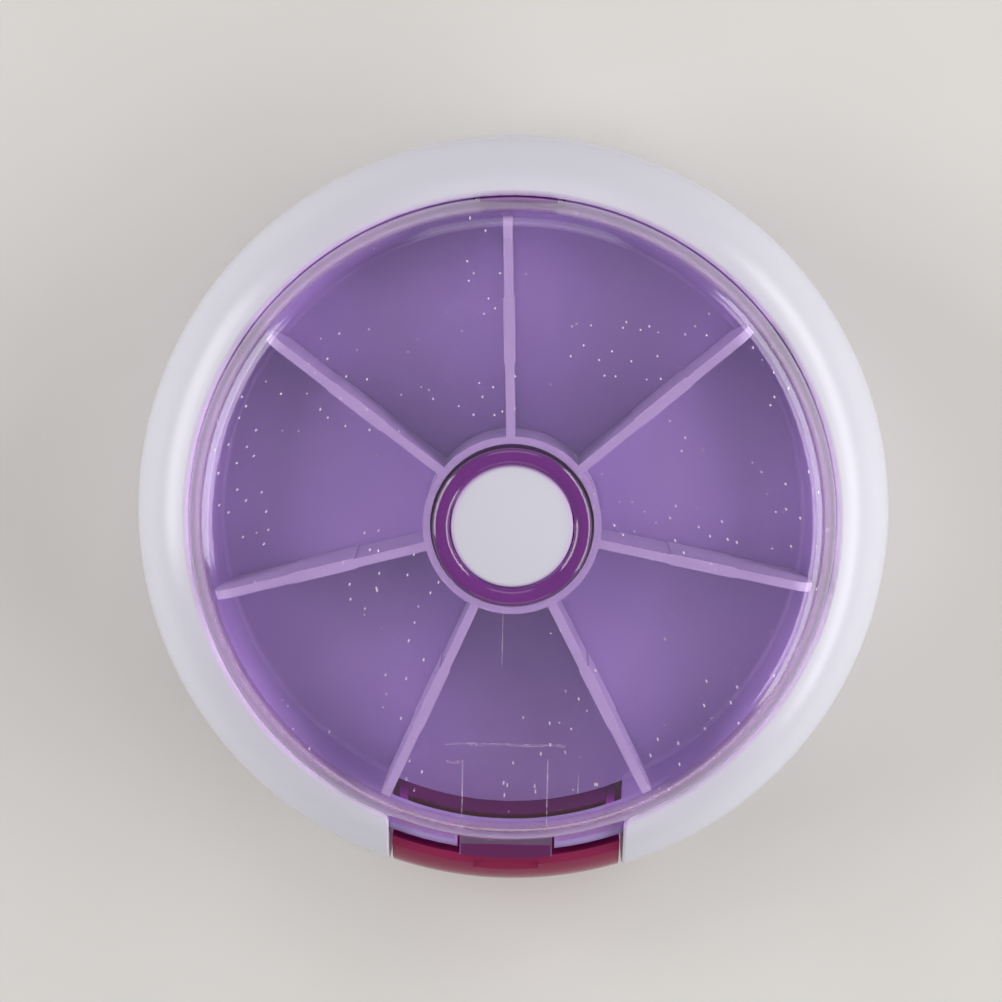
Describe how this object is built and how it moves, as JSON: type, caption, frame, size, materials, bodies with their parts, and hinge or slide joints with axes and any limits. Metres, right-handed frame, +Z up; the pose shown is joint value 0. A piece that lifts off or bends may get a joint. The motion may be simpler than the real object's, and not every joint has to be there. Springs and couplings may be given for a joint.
{
  "type": "rotating weekly pill organizer",
  "caption": "Round pill organizer with a wheel of compartments that a centre push button turns past an outlet with a tilting flap, under a clear lift-off lid.",
  "frame": {"origin": "centre of the footprint, on the surface that the organizer stands on", "axes": "+Z up along the wheel axis, -Y towards the outlet flap, +X to the right seen from the outlet"},
  "size_m": [0.09, 0.0898, 0.0259],
  "materials": {
    "white_plastic": "smooth moulded white plastic",
    "lavender_plastic": "opaque lavender plastic, satin",
    "clear_violet": "polished clear plastic with a light violet tint",
    "clear_purple": "polished translucent purple plastic",
    "natural_nylon": "uncoloured nylon",
    "spring_steel": "bright spring steel"
  },
  "bodies": {
    "casing": {"base_shell": "clear_purple", "inner_bowl": "lavender_plastic", "bezel_ring": "white_plastic", "index_spring": "spring_steel", "retaining_clip": "spring_steel", "return_spring": "spring_steel"},
    "cam": {"cam_ring": "natural_nylon"},
    "wheel": {"vane_wheel": "lavender_plastic", "index_star": "natural_nylon"},
    "button": {"button_cap": "white_plastic", "cam_sleeve": "natural_nylon"},
    "lid": {"lid": "clear_violet"},
    "flap": {"outlet_flap": "clear_purple"}
  },
  "joints": [
    {"name": "cam_turn", "type": "hinge", "parent": "casing", "child": "cam", "pos_m": [0, 0, 0.0104], "axis": [0, 0, 1], "range_deg": [0, 36]},
    {"name": "wheel_spin", "type": "hinge", "parent": "cam", "child": "wheel", "pos_m": [0, 0, 0.0128], "axis": [0, 0, 1], "continuous": true},
    {"name": "button_press", "type": "slide", "parent": "casing", "child": "button", "axis": [0, 0, -1], "range_m": [0, 0.003], "stiffness_N_per_m": 400, "springref_m": -0.004, "deforming": ["return_spring"]},
    {"name": "lid_lift", "type": "slide", "parent": "casing", "child": "lid", "axis": [0, 0, 1], "range_m": [0, 0.03]},
    {"name": "flap_tilt", "type": "hinge", "parent": "casing", "child": "flap", "pos_m": [0, -0.0393, 0.0046], "axis": [1, 0, 0], "range_deg": [0, 55]}
  ],
  "couplings": [
    {"joint": "cam_turn", "follows": "button_press", "rad_per_m": 209.4}
  ]
}
